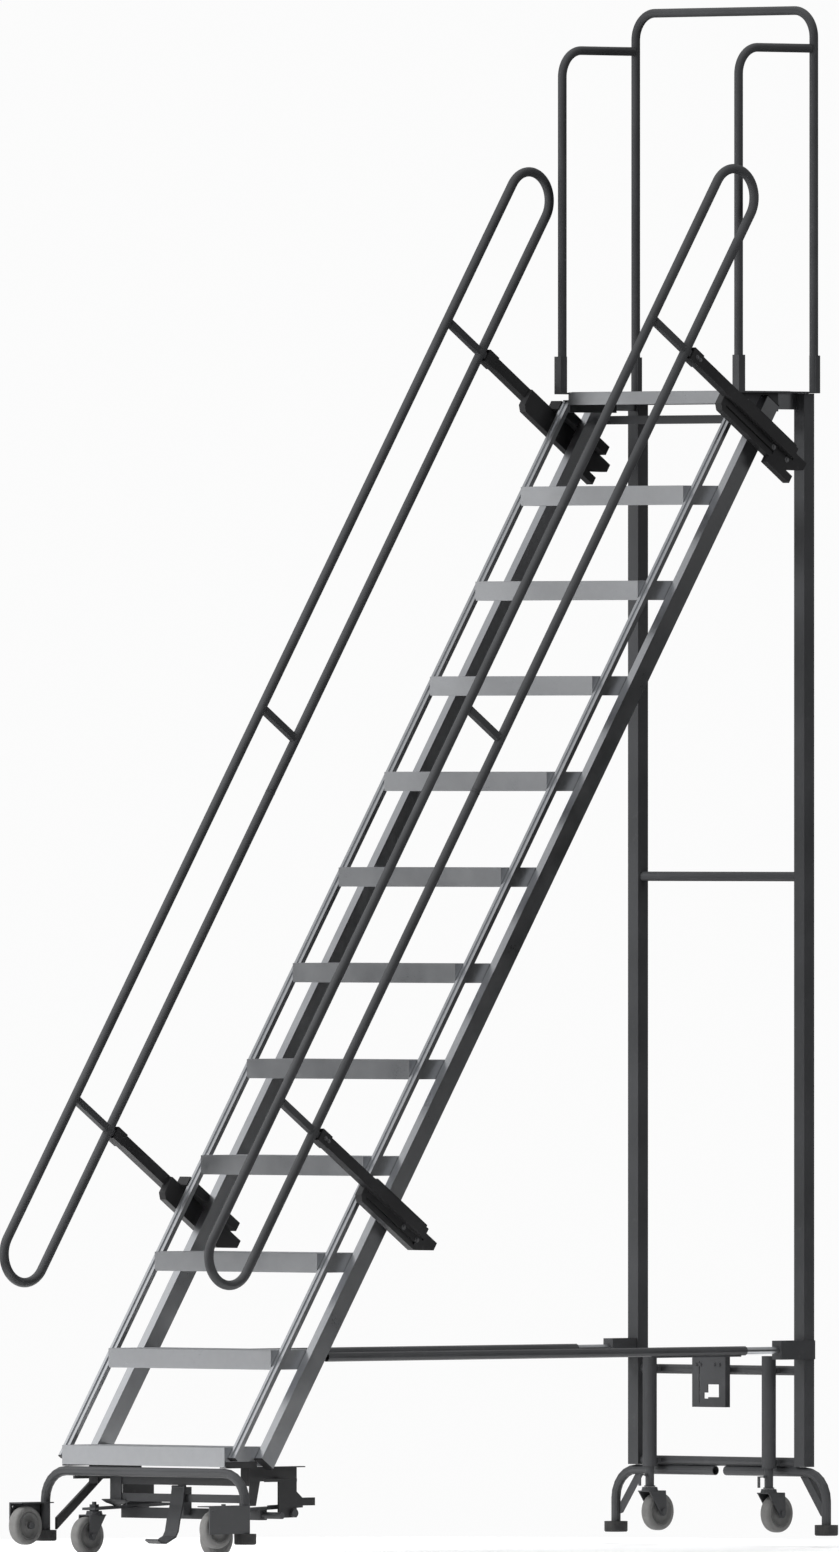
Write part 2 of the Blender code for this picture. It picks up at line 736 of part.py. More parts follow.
def wheel(name, centre, bore, parent=None):
    """A wheel with a rounded tread, a raised rim and a hub, turned about an axis along x."""
    rim, web, hub = 0.033, 0.0125, 0.013
    half = [
        (bore, WHEEL_HALF),
        (hub, WHEEL_HALF),
        (hub + 0.001, web),
        (rim - 0.002, web),
        (rim, WHEEL_HALF - 0.0008),
        (WHEEL_RADIUS - 0.0050, WHEEL_HALF - 0.0010),
        (WHEEL_RADIUS - 0.0011, WHEEL_HALF - 0.0050),
        (WHEEL_RADIUS, WHEEL_HALF - 0.0095),
    ]
    profile = half + [(radius, -height) for radius, height in reversed(half)]
    return piece(name, "wheel_poly", [turned(profile, centre, "x", 24)], pivot=centre, parent=parent)


def yoke(name, stem, axle_y, axle_z, parent):
    """A swivel fork: a race, a top plate, two tapered legs and the axle."""
    low, high = axle_z + WHEEL_RADIUS + 0.0022, axle_z + WHEEL_RADIUS + 0.0052
    y = (min(stem.y - 0.0235, axle_y - 0.010), max(stem.y + 0.0235, axle_y + 0.010))
    race = [(0, low), (0.0235, low), (0.0205, stem.z - GAP), (0, stem.z - GAP)]
    axle = [Vector((stem.x + offset, axle_y, axle_z)) for offset in (-0.0265, -0.0215, 0.0215, 0.0265)]
    shapes = [
        turned(race, Vector((stem.x, stem.y, 0)), "z", 16),
        box((stem.x - 0.0215, stem.x + 0.0215), y, (low, high)),
        rod(axle[0], axle[3], 0.0045, 12),
        rod(axle[0], axle[1], 0.008, 6),
        rod(axle[2], axle[3], 0.008, 6),
    ]
    turns = [math.radians(angle) for angle in range(180, 361, 30)]
    tip = [(axle_y + 0.013 * math.cos(t), axle_z + 0.013 * math.sin(t)) for t in turns]
    for way in (-1, 1):
        x = sorted((stem.x + way * 0.0187, stem.x + way * 0.0217))
        shapes.append(extruded([(y[0], high)] + tip + [(y[1], high)], "x", *x))
    return piece(name, "dark_steel", shapes, pivot=stem, parent=parent)


def caster_frame():
    """Two arms on a cross tube, with two cross bars and a domed seat; it hinges on the side plates."""
    shapes = [box((-0.261, 0.261), (0.1757, 0.2011), (0.0605, 0.0885))]
    pin = FRAME_PIVOT[1:]
    for _, side in sides():

        def block(x, y, z):
            return box(sorted((side * x[0], side * x[1])), y, z)

        arm = [(0.037, 0.0820), (0.329, 0.0923), (0.329, 0.0989), (0.037, 0.0886)]
        lip = [(0.200, 0.0900), (0.329, 0.0940), (0.329, 0.1040), (0.200, 0.0995)]
        shapes += [
            extruded(arm, "x", *sorted((side * 0.2187, side * 0.2667))),
            extruded(lip, "x", *sorted((side * 0.2630, side * 0.2667))),
            rod(at(side, FRONT_STEM), at(side, FRONT_STEM + UP * 0.017), 0.013, 6),
            rod(at(side, FRONT_STEM), at(side, FRONT_STEM + UP * 0.024), 0.006, 10),
            block((0.2590, 0.2667), (0.252, 0.278), (0.0660, 0.0950)),
            rod(at(side, (0.262, *pin)), at(side, (0.3030, *pin)), 0.0060, 16),
            rod(at(side, (0.2946, *pin)), at(side, (0.3030, *pin)), 0.0115, 12),
        ]
    seat = [(0, 0.0880), (0.012, 0.0955), (0.030, 0.1020), (0.040, 0.1085), (0.040, 0.1110), (0, 0.1110)]
    shapes += [
        turned(seat, Vector((-0.2240, 0.1230, 0)), "z", 18),
        box((-0.2420, -0.2000), (0.1160, 0.1200), (0.1020, 0.1734)),
        box((0.2430, 0.2620), (0.1160, 0.1200), (0.0830, 0.1734)),
        rod(Vector((0.255, 0.1884, 0.0732)), Vector((0.331, 0.1884, 0.0732)), 0.009, 12),
        box((-0.242, 0.262), (0.1194, 0.1394), (0.1508, 0.1734)),
        box((-0.239, 0.262), (0.1194, 0.1394), (0.1057, 0.1270)),
        box((-0.006, 0.000), (0.1500, 0.1800), (0.0700, 0.1450)),
        box((-0.006, 0.000), (0.1350, 0.1600), (0.1350, 0.1550)),
    ]
    return piece("caster_frame", "dark_steel", shapes, pivot=FRAME_PIVOT)


def pedal(frame):
    """A bent strap that hangs below the upper cross bar and curls forward at its tip."""
    line = [(0.1125, 0.146), (0.105, 0.099), (0.093, 0.059), (0.087, 0.030), (0.078, 0.015), (0.042, -0.001)]
    line += [(0.026, 0.000), (0.012, 0.008)]
    faces = ([], [])
    for i, point in enumerate(line):
        before, after = line[max(i - 1, 0)], line[min(i + 1, len(line) - 1)]
        across = (Vector(after) - Vector(before)).normalized().orthogonal() * 0.0025
        faces[0].append(Vector(point) + across)
        faces[1].append(Vector(point) - across)
    outline = faces[0] + faces[1][::-1]
    x = (PEDAL_PIVOT.x - 0.024, PEDAL_PIVOT.x + 0.024)
    knuckle = rod(Vector((x[0], *PEDAL_PIVOT[1:])), Vector((x[1], *PEDAL_PIVOT[1:])), 0.0042, 12)
    strap = extruded(outline, "x", *x)
    piece("release_pedal", "dark_steel", [strap, knuckle], pivot=PEDAL_PIVOT, parent=frame)


def front_casters(frame):
    for name, side in sides():
        stem = at(side, FRONT_STEM)
        axle = Vector((stem.x, stem.y + FRONT_TRAIL, FRONT_AXLE_Z))
        fork = yoke(f"front_yoke_{name}", stem, axle.y, axle.z, frame)
        wheel(f"front_wheel_{name}", axle, 0.0050, fork)


def rear_casters():
    """A spring housing on the cross bars, a sliding stem in it, and a swivel fork under the stem."""
    for name, side in sides():
        centre = at(side, (REAR_STEM.x, REAR_STEM.y, 0))
        housing = rod(centre + UP * 0.172, centre + UP * 0.472, 0.01905, 20)
        bore = rod(centre + UP * 0.160, centre + UP * 0.200, 0.0124, 20)
        spring_room = rod(centre + UP * 0.190, centre + UP * 0.466, 0.0162, 20)
        tabs = [
            box((centre.x - 0.012, centre.x + 0.012), (2.1435, 2.1578), (z - 0.007, z + 0.007))
            for z in (REAR_BARS["lower"], REAR_BARS["base"])
        ]
        piece(f"caster_housing_{name}", "dark_steel", [housing] + tabs, [bore, spring_room])

        stem = [
            turned(
                [
                    (0, 0.1176),
                    (0.0150, 0.1176),
                    (0.0150, 0.1210),
                    (0.0117, 0.1210),
                    (0.0117, 0.4000),
                    (0, 0.4000),
                ],
                centre,
                "z",
                20,
            ),
            box((centre.x - 0.004, centre.x + 0.004), (2.0870, 2.1150), (0.1480, 0.1510)),
            box((centre.x - 0.004, centre.x + 0.004), (2.0870, 2.0900), (0.1205, 0.1510)),
            box((centre.x - 0.004, centre.x + 0.004), (2.1100, 2.1200), (0.1460, 0.1530)),
        ]
        pivot = Vector((centre.x, centre.y, 0.172))
        slider = piece(f"caster_stem_{name}", "dark_steel", stem, pivot=pivot)
        top = at(side, REAR_STEM)
        fork = yoke(f"rear_yoke_{name}", top, top.y + REAR_TRAIL, REAR_AXLE_Z, slider)
        wheel(f"rear_wheel_{name}", Vector((top.x, top.y + REAR_TRAIL, REAR_AXLE_Z)), 0.0050, fork)


def main():
    clear_scene()
    ladder = bpy.data.objects.new("ladder", None)
    bpy.context.scene.collection.objects.link(ladder)
    ladder.location = SHIFT
    rails()
    steps()
    platform()
    guard_rails()
    rear_frame()
    braces()
    handrails()
    front_base()
    frame = caster_frame()
    pedal(frame)
    front_casters(frame)
    rear_casters()
    for name, side in sides():
        wheel(f"tilt_wheel_{name}", at(side, TILT_WHEEL), 0.0065)


main()
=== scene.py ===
"""A rolling platform ladder: looks, small fittings, floor, light and camera round the CAD frame.

Metres. Stair coordinates put y = 0 at the nose of step 1 and z = 0 at the feet; SHIFT carries
them to the frame's own coordinates.
"""

import json
import math

import bmesh
import bpy
from mathutils import Matrix, Vector


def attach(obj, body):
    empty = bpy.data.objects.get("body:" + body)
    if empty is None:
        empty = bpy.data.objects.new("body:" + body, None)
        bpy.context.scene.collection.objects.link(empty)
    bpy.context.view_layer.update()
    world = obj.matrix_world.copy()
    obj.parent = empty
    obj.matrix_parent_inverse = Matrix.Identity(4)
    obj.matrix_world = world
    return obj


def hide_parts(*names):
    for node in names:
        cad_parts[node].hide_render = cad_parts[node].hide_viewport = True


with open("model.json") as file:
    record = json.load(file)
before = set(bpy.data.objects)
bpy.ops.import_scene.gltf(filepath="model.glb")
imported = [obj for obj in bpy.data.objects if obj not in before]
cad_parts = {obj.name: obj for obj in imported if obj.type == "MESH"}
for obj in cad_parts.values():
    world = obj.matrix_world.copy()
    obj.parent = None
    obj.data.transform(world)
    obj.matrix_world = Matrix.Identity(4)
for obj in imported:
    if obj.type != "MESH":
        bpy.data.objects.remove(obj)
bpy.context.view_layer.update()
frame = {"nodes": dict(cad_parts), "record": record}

SHIFT = Vector((0, -1.02885, 0.03577))
SIDEWAYS = Vector((1, 0, 0))
SIDES = (("left", -1), ("right", 1))

# The flight: each step's rise and going, and the directions up it and square to it.
RISE = 0.254
GOING = 0.1718
STEPS = 11
SLOPE = math.atan2(RISE, GOING)
ALONG = Vector((0, math.cos(SLOPE), math.sin(SLOPE)))
OUT = Vector((0, -math.sin(SLOPE), math.cos(SLOPE)))

# The handrail loops: the centres of their two bends, half their width, and their square struts and
# arms, whose ends stop within the tube's wall, ARM_INSET short of its centre line.
LOOP_LOW = Vector((0, -0.060, 0.759))
LOOP_HIGH = Vector((0, 1.830, 3.562))
LOOP_X = 0.3845
LOOP_HALF = 0.0764
LOOP_TUBE = 0.0127
LOOP_LENGTH = (LOOP_HIGH - LOOP_LOW).length
LOOP_UP = (LOOP_HIGH - LOOP_LOW).normalized()
LOOP_OUT = SIDEWAYS.cross(LOOP_UP)
LOOP_SEAM = LOOP_LENGTH * 0.45
ARM_FROM_END = 0.443
ARM_HALF = 0.0095
ARM_REACH = 0.330
ARM_INSET = 0.0082
ARMS = {"lower": ARM_FROM_END, "upper": LOOP_LENGTH - ARM_FROM_END}
STRUTS = (ARM_FROM_END, LOOP_LENGTH / 2, LOOP_LENGTH - ARM_FROM_END)

# The outer faces of the sleeves' collars and slotted plates.
COLLAR_X = 0.400
SLOTTED_PLATE_X = 0.380

# The guard rails: tube, bends, places and heights, the square sockets round the tubes' feet, and
# the flat strip under each side rail.
GUARD_TUBE = 0.0118
GUARD_BEND = 0.072
GUARD_REAR_X = 0.3343
GUARD_SIDE_X = 0.331
GUARD_FRONT_Y = 1.902
GUARD_REAR_Y = 2.185
GUARD_SIDE_END_Y = 2.1728
GUARD_FLOOR = 3.043
GUARD_SIDE_TOP = 3.964
GUARD_REAR_TOP = 4.066
SOCKET_TOP = 3.144
SOCKET_HALF = 0.0125
STRIP_X = (0.3052, 0.3460)
STRIP_END_Y = 2.1716

# The rails: their middle, each one's front face at the first rise, its depth and its two ends.
RAIL_X = 0.3184
BACK_RAIL_Y = 0.1322
BACK_RAIL_HALF = 0.0254
BACK_RAIL_ENDS = ((0.2257, -1), (3.0347, 1))
FRONT_RAIL_Y = 0.0303
FRONT_RAIL_HALF = 0.00635
FRONT_RAIL_ENDS = ((0.2277, -1), (3.025, 1))

# The ribs on the treads: half their length, their width, spacing, and heights over the tread.
RIB_HALF = 0.2990
RIB_WIDE = 0.0022
RIB_PITCH = 0.0118
RIB_HEIGHTS = (0.00005, 0.0009)

# Each kind of wheel's centre and the bore round its axle, and the radius where the tread starts.
WHEELS = {
    "front": (0.2427, 0.0320, 0.0146, 0.0050),
    "rear": (0.2235, 2.1563, 0.0512, 0.0050),
    "tilt": (0.3580, -0.0838, 0.0415, 0.0065),
}
TREAD_START = 0.0370

# The front face of the latch plate on the rear posts, and its row of bolts.
LATCH_FACE_Y = 2.1245
LATCH_BOLTS_Z = 0.447

# A Mix node's colour inputs and result, which share their names with its other sockets.
MIX_A, MIX_B, MIX_RESULT = 6, 7, 2


# ---- Materials ----


def shader_of(name, **values):
    """A new node material with its Principled shader's sockets set."""
    made = bpy.data.materials.new(name)
    made.use_nodes = True
    shader = made.node_tree.nodes["Principled BSDF"]
    for socket, value in values.items():
        shader.inputs[socket.replace("_", " ")].default_value = value
    return made, made.node_tree, shader


def add(tree, kind, inputs=None, **settings):
    """A node with its settings and its inputs, each a value or another node's output."""
    node = tree.nodes.new(kind)
    for key, value in settings.items():
        setattr(node, key, value)
    for key, value in (inputs or {}).items():
        if isinstance(value, bpy.types.NodeSocket):
            tree.links.new(value, node.inputs[key])
        else:
            node.inputs[key].default_value = value
    return node


def noise(tree, stretch, scale, detail=3.0, rough=0.5):
    """Noise over the object's own coordinates, stretched by a vector."""
    place = add(tree, "ShaderNodeTexCoord").outputs["Object"]
    mapped = add(tree, "ShaderNodeMapping", {"Vector": place, "Scale": stretch}).outputs["Vector"]
    inputs = {"Vector": mapped, "Scale": scale, "Detail": detail, "Roughness": rough}
    return add(tree, "ShaderNodeTexNoise", inputs).outputs["Fac"]


def spread(tree, value, low, high, start=0.3, end=0.7):
    """A number or a colour that runs from low to high as value runs from start to end."""
    if isinstance(low, tuple):
        ramp = add(tree, "ShaderNodeValToRGB", {"Fac": value})
        ramp.color_ramp.elements[0].position = start
        ramp.color_ramp.elements[1].position = end
        ramp.color_ramp.elements[0].color = (*low, 1)
        ramp.color_ramp.elements[1].color = (*high, 1)
        return ramp.outputs["Color"]
    inputs = {"Value": value, "From Min": start, "From Max": end, "To Min": low, "To Max": high}
    return add(tree, "ShaderNodeMapRange", inputs).outputs["Result"]


def bump(tree, shader, height, strength, distance):
    """Roughens a shader's surface by a height map."""
    node = add(tree, "ShaderNodeBump", {"Height": height, "Strength": strength, "Distance": distance})
    tree.links.new(node.outputs["Normal"], shader.inputs["Normal"])


def painted_steel(name, low, high):
    """Dark grey powder coat: a fine orange-peel skin, cloudy gloss, lighter rubbed patches."""
    made, tree, shader = shader_of(name, Metallic=0.0, Specular_IOR_Level=0.42)
    cloud = noise(tree, (1, 1, 1), 6, 4)
    rubbed = noise(tree, (1, 1, 1), 34, 6, 0.7)
    base = spread(tree, cloud, low, high)
    worn = spread(tree, rubbed, 0.0, 0.35, 0.60, 0.78)
    colours = {"Factor": worn, MIX_A: base, MIX_B: (0.105, 0.105, 0.108, 1)}
    mixed = add(tree, "ShaderNodeMix", colours, data_type="RGBA")
    tree.links.new(mixed.outputs[MIX_RESULT], shader.inputs["Base Color"])
    tree.links.new(spread(tree, cloud, 0.36, 0.50), shader.inputs["Roughness"])
    bump(tree, shader, noise(tree, (1, 1, 1), 900, 2), 0.10, 0.0004)
    return made


def brushed_aluminium(name, stretch):
    """Mill-finish aluminium with drawing lines along one axis and faint handling marks."""
    made, tree, shader = shader_of(name, Metallic=1.0)
    lines = noise(tree, stretch, 60, 4, 0.7)
    marks = noise(tree, (1, 1, 1), 9, 5, 0.6)
    base = spread(tree, marks, (0.50, 0.51, 0.53), (0.60, 0.61, 0.625))
    tree.links.new(base, shader.inputs["Base Color"])
    both = add(tree, "ShaderNodeMath", {0: lines, 1: marks}, operation="MULTIPLY").outputs[0]
    tree.links.new(spread(tree, both, 0.27, 0.43, 0.12, 0.42), shader.inputs["Roughness"])
    bump(tree, shader, lines, 0.07, 0.0005)
    return made


def moulded(name, low, high, roughness, grain, depth):
    """A moulded plastic or rubber with a fine grain and scuffed, paler patches."""
    made, tree, shader = shader_of(name, Metallic=0.0, Specular_IOR_Level=0.4)
    scuffs = noise(tree, (1, 1, 1), 45, 6, 0.65)
    tree.links.new(spread(tree, scuffs, low, high, 0.35, 0.75), shader.inputs["Base Color"])
    tree.links.new(spread(tree, scuffs, roughness - 0.08, roughness + 0.08), shader.inputs["Roughness"])
    bump(tree, shader, noise(tree, (1, 1, 1), grain, 3), 0.25, depth)
    return made


steel = painted_steel("dark_powder_coat", (0.041, 0.042, 0.044), (0.054, 0.055, 0.058))
# A darker copy of the same powder coat: painted shade that makes the sleeves and the base's side plates
# look shaded.
shaded_steel = painted_steel("painted_shade_powder_coat", (0.019, 0.019, 0.020), (0.028, 0.028, 0.029))
aluminium_across = brushed_aluminium("aluminium_across", (0.6, 22, 22))
aluminium_rails = brushed_aluminium("aluminium_rails", (22, 6, 1.2))
wheel_body = moulded("wheel_body", (0.088, 0.088, 0.087), (0.125, 0.124, 0.121), 0.50, 700, 0.0004)
wheel_tread = moulded("wheel_tread", (0.125, 0.124, 0.121), (0.175, 0.173, 0.169), 0.66, 500, 0.0006)
foot_rubber = moulded("foot_rubber", (0.022, 0.022, 0.023), (0.050, 0.049, 0.048), 0.78, 420, 0.0006)
cap_plastic = moulded("cap_plastic", (0.014, 0.014, 0.015), (0.026, 0.026, 0.027), 0.46, 600, 0.0003)
dull_zinc = painted_steel("dull_zinc", (0.085, 0.086, 0.090), (0.120, 0.121, 0.125))

FINISHES = {"dark_steel": steel, "wheel_poly": wheel_body, "rubber": foot_rubber}


def finish_of(name, slot):
    """The material of a frame node; aluminium is brushed along the piece's own length."""
    # The sleeves and the base's side plates take the darker copy of the powder coat, as painted shade.
    if name.startswith(("handrail_sleeve", "base_side")):
        return shaded_steel
    across = name.startswith(("step", "platform"))
    return FINISHES.get(slot, aluminium_across if across else aluminium_rails)


for part in frame["record"]["subparts"]:
    for place in frame["nodes"][part["node"]].material_slots:
        place.material = finish_of(part["node"], part["material_slot"])


# ---- Shapes, in stair coordinates ----

CORNERS = ((-1, -1), (1, -1), (1, 1), (-1, 1))


def box(shape, x, y, z):
    """Adds a block between the two values of each of x, y and z."""
    size = Vector((x[1] - x[0], y[1] - y[0], z[1] - z[0]))
    middle = Vector((x[0] + x[1], y[0] + y[1], z[0] + z[1])) / 2
    bmesh.ops.create_cube(shape, size=1, matrix=Matrix.Translation(middle) @ Matrix.Diagonal((*size, 1)))


def beam(shape, start, end, half_wide, half_tall, side=SIDEWAYS):
    """Adds a straight bar of rectangular section; half_wide is along side."""
    tall = (end - start).cross(side).normalized()
    rings = [
        [shape.verts.new(point + side * half_wide * a + tall * half_tall * b) for a, b in CORNERS]
        for point in (start, end)
    ]
    shape.faces.new(rings[0])
    shape.faces.new(rings[1])
    for i in range(4):
        j = (i + 1) % 4
        shape.faces.new((rings[0][i], rings[0][j], rings[1][j], rings[1][i]))


def turned(shape, profile, centre, axis, sides):
    """Adds a profile of (radius, height) pairs turned about an axis; radius 0 closes an end."""
    axis = Vector(axis).normalized()
    first = axis.orthogonal().normalized()
    second = axis.cross(first)
    rings = []
    for radius, height in profile:
        middle = Vector(centre) + axis * height
        if radius == 0:
            rings.append([shape.verts.new(middle)] * sides)
            continue
        turns = [2 * math.pi * (k + 0.5) / sides for k in range(sides)]
        spokes = [radius * (first * math.cos(t) + second * math.sin(t)) for t in turns]
        rings.append([shape.verts.new(middle + spoke) for spoke in spokes])
    pairs = list(zip(rings, rings[1:]))
    if profile[0][0] > 0:
        pairs.append((rings[-1], rings[0]))
    for low, high in pairs:
        for k in range(sides):
            m = (k + 1) % sides
            shape.faces.new(list(dict.fromkeys((low[k], low[m], high[m], high[k]))))


def swept(shape, path, side, radius, closed=False, sides=28):
    """Adds a round tube along a path that lies in the plane square to side."""
    last = len(path) - 1
    rings = []
    for i, point in enumerate(path):
        before = path[i - 1] if i or closed else path[0]
        after = path[(i + 1) % len(path)] if i < last or closed else path[last]
        other = (after - before).normalized().cross(side)
        turns = [2 * math.pi * k / sides for k in range(sides)]
        spokes = [radius * (side * math.cos(t) + other * math.sin(t)) for t in turns]
        rings.append([shape.verts.new(point + spoke) for spoke in spokes])
    pairs = list(zip(rings, rings[1:]))
    if closed:
        pairs.append((rings[-1], rings[0]))
    else:
        shape.faces.new(rings[0])
        shape.faces.new(rings[-1])
    for low, high in pairs:
        for k in range(sides):
            m = (k + 1) % sides
            shape.faces.new((low[k], low[m], high[m], high[k]))


def bent(corners, bend, steps=20):
    """A path through corner points with each inner corner turned into an arc of radius bend."""
    path = [corners[0]]
    for before, corner, after in zip(corners, corners[1:], corners[2:]):
        back = (before - corner).normalized()
        on = (after - corner).normalized()
        half_angle = back.angle(on) / 2
        reach = bend / math.tan(half_angle)
        centre = corner + (back + on).normalized() * bend / math.sin(half_angle)
        first = corner + back * reach - centre
        turn = (corner + on * reach - centre).rotation_difference(first).inverted()
        axis, angle = turn.to_axis_angle()
        path += [centre + Matrix.Rotation(angle * k / steps, 3, axis) @ first for k in range(steps + 1)]
    return path + [corners[-1]]


def at(side, x, y, z):
    """A point on one side of the middle."""
    return Vector((side * x, y, z))


def loop_point(side, x, along, across):
    """A point by x, distance up from the handrail's lower bend centre and out from its middle."""
    return LOOP_LOW + LOOP_UP * along + LOOP_OUT * across + SIDEWAYS * side * x


def bolt(shape, point, axis, across=0.0056, tall=0.0040, washer=0.0078):
    """Adds a chamfered hexagon head on a washer; point is on the surface it sits on."""
    plate = [(0, 0.0001), (washer, 0.0001), (washer, 0.0011), (0, 0.0011)]
    turned(shape, plate, point, axis, 20)
    head = [(0, 0.0012), (across, 0.0012), (across, tall), (across * 0.86, tall + 0.0009)]
    turned(shape, head + [(0, tall + 0.0009)], point, axis, 6)


def show(name, shape, body, looks, edge=0.0, angle=35):
    """Turns a shape into a visible piece that rides on a body and takes its finish from a slot."""
    bmesh.ops.recalc_face_normals(shape, faces=shape.faces)
    mesh = bpy.data.meshes.new(name)
    shape.to_mesh(mesh)
    shape.free()
    mesh.transform(Matrix.Translation(SHIFT))
    for look in looks:
        mesh.materials.append(look)
    mesh.shade_smooth()
    mesh.set_sharp_from_angle(angle=math.radians(angle))
    item = bpy.data.objects.new(name, mesh)
    bpy.context.scene.collection.objects.link(item)
    if edge:
        bevel = item.modifiers.new("edge", "BEVEL")
        bevel.width = edge
        bevel.segments = 2
        bevel.limit_method = "ANGLE"
        bevel.angle_limit = math.radians(40)
        bevel.harden_normals = True
    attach(item, body)
    return item


# ---- Wheels ----


def wheel(name, x, y, z, bore):
    """A moulded wheel: a paler tread with crowned shoulders, a grooved rim, a dished web, a hub."""
    half = [
        (bore, 0.0150),
        (bore + 0.0014, 0.0158),
        (0.0112, 0.0160),
        (0.0122, 0.0152),
        (0.0130, 0.0118),
        (0.0170, 0.0106),
        (0.0250, 0.0106),
        (0.0308, 0.0122),
        (0.0322, 0.0144),
        (0.0345, 0.0152),
        (0.0352, 0.0140),
        (0.0372, 0.0140),
        (0.0380, 0.0152),
        (0.0432, 0.0156),
        (0.0464, 0.0148),
        (0.0490, 0.0124),
        (0.0503, 0.0090),
        (0.0508, 0.0045),
    ]
    shape = bmesh.new()
    profile = half + [(radius, -height) for radius, height in reversed(half)]
    turned(shape, profile, (x, y, z), (1, 0, 0), 72)
    for face in shape.faces:
        middle = face.calc_center_median()
        face.material_index = int(math.hypot(middle.y - y, middle.z - z) > TREAD_START)
    item = show(f"{name}_moulded", shape, name, (wheel_body, wheel_tread), angle=50)
    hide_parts(name)


def wheels():
    """The front and rear casters' wheels, and the fixed wheels that the ladder tilts onto."""
    for name, side in SIDES:
        for kind, (x, y, z, bore) in WHEELS.items():
            wheel(f"{kind}_wheel_{name}", side * x, y, z, bore)


# ---- Handrails and guard rails in smooth round tube ----


def handrails():
    """Each loop is one closed tube, with square struts across it and arms that slide in the sleeves."""
    steps = 32
    bite = LOOP_HALF - ARM_INSET
    for name, side in SIDES:
        shape = bmesh.new()
        path = []
        for along, turn in ((LOOP_LENGTH, 1), (0, -1)):
            for k in range(steps + 1):
                angle = math.pi * k / steps
                up = along + turn * LOOP_HALF * math.sin(angle)
                path.append(loop_point(side, LOOP_X, up, -turn * LOOP_HALF * math.cos(angle)))
        swept(shape, path, SIDEWAYS, LOOP_TUBE, closed=True)
        for along in STRUTS:
            reaches = [(bite, -bite)]
            if along in ARMS.values():
                reaches.append((-LOOP_HALF - ARM_INSET, -LOOP_HALF - ARM_REACH))
            for reach in reaches:
                start, end = [loop_point(side, LOOP_X, along, across) for across in reach]
                beam(shape, start, end, ARM_HALF, ARM_HALF)
        item = show(f"handrail_tube_{name}", shape, f"handrail_{name}", (steel,), 0.0006)
        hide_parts(f"handrail_{name}")


def socket(shape, side, y):
    """Adds the square socket round the foot of a guard rail's tube."""
    middle = side * GUARD_REAR_X
    box(shape, (middle - SOCKET_HALF, middle + SOCKET_HALF), y, (GUARD_FLOOR, SOCKET_TOP))


def guard_rails():
    """The rear U and the two side rails, each tube's foot in a square socket."""
    shape = bmesh.new()
    corners = [
        Vector((-GUARD_REAR_X, GUARD_REAR_Y, GUARD_FLOOR)),
        Vector((-GUARD_REAR_X, GUARD_REAR_Y, GUARD_REAR_TOP)),
        Vector((GUARD_REAR_X, GUARD_REAR_Y, GUARD_REAR_TOP)),
        Vector((GUARD_REAR_X, GUARD_REAR_Y, GUARD_FLOOR)),
    ]
    swept(shape, bent(corners, GUARD_BEND), Vector((0, 1, 0)), GUARD_TUBE)
    for _, side in SIDES:
        socket(shape, side, (GUARD_REAR_Y - 0.005, GUARD_REAR_Y + 0.012))
    item = show("guard_tube_rear", shape, "ladder", (steel,), 0.0006)
    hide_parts("guard_rail_rear")
    for name, side in SIDES:
        shape = bmesh.new()
        corners = [
            at(side, GUARD_SIDE_X, GUARD_FRONT_Y, GUARD_FLOOR),
            at(side, GUARD_SIDE_X, GUARD_FRONT_Y, GUARD_SIDE_TOP),
            at(side, GUARD_SIDE_X, GUARD_SIDE_END_Y, GUARD_SIDE_TOP),
        ]
        swept(shape, bent(corners, GUARD_BEND), SIDEWAYS, GUARD_TUBE)
        socket(shape, side, (GUARD_FRONT_Y - 0.0145, GUARD_FRONT_Y + 0.0095))
        strip_y = (GUARD_FRONT_Y - 0.014, STRIP_END_Y)
        box(shape, sorted(side * x for x in STRIP_X), strip_y, (GUARD_FLOOR, GUARD_FLOOR + 0.004))
        item = show(f"guard_tube_{name}", shape, "ladder", (steel,), 0.0006)
        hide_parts(f"guard_rail_{name}")


# ---- Fittings ----


def rail_middle(side, front_y, half, z):
    """The middle of a rail's section at height z; front_y is its front face at the first rise."""
    return Vector((side * RAIL_X, front_y + (z - RISE) * GOING / RISE, z)) - OUT * half


def rail_ends():
    """Dark plastic caps in the ends of the back rails, and small feet on the front rails."""
    for name, side in SIDES:
        shape = bmesh.new()
        for z, way in BACK_RAIL_ENDS:
            face = rail_middle(side, BACK_RAIL_Y, BACK_RAIL_HALF, z)
            beam(shape, face + ALONG * way * 0.0002, face + ALONG * way * 0.0036, 0.0129, 0.0257)
            beam(shape, face - ALONG * way * 0.012, face + ALONG * way * 0.0010, 0.0094, 0.0220)
        show(f"back_rail_caps_{name}", shape, "ladder", (cap_plastic,), 0.0006)
        shape = bmesh.new()
        for z, way in FRONT_RAIL_ENDS:
            face = rail_middle(side, FRONT_RAIL_Y, FRONT_RAIL_HALF, z)
            beam(shape, face + ALONG * way * 0.0002, face + ALONG * way * 0.0030, 0.0128, 0.0066)
        show(f"front_rail_feet_{name}", shape, "ladder", (cap_plastic,), 0.0005)


def ribs(name, first, last, top):
    """A row of fine raised ribs across a tread, for grip."""
    shape = bmesh.new()
    y = first
    while y < last:
        box(shape, (-RIB_HALF, RIB_HALF), (y, y + RIB_WIDE), [top + height for height in RIB_HEIGHTS])
        y += RIB_PITCH
    show(name, shape, "ladder", (aluminium_across,), 0.0002)


def tread_ribs():
    """The ribs of every step and of the platform, which stands one rise above the last step."""
    for number in range(1, STEPS + 1):
        nose = (number - 1) * GOING
        ribs(f"step_ribs_{number:02d}", nose + 0.006, nose + 0.172, number * RISE)
    ribs("platform_ribs", 1.905, 2.140, (STEPS + 1) * RISE)


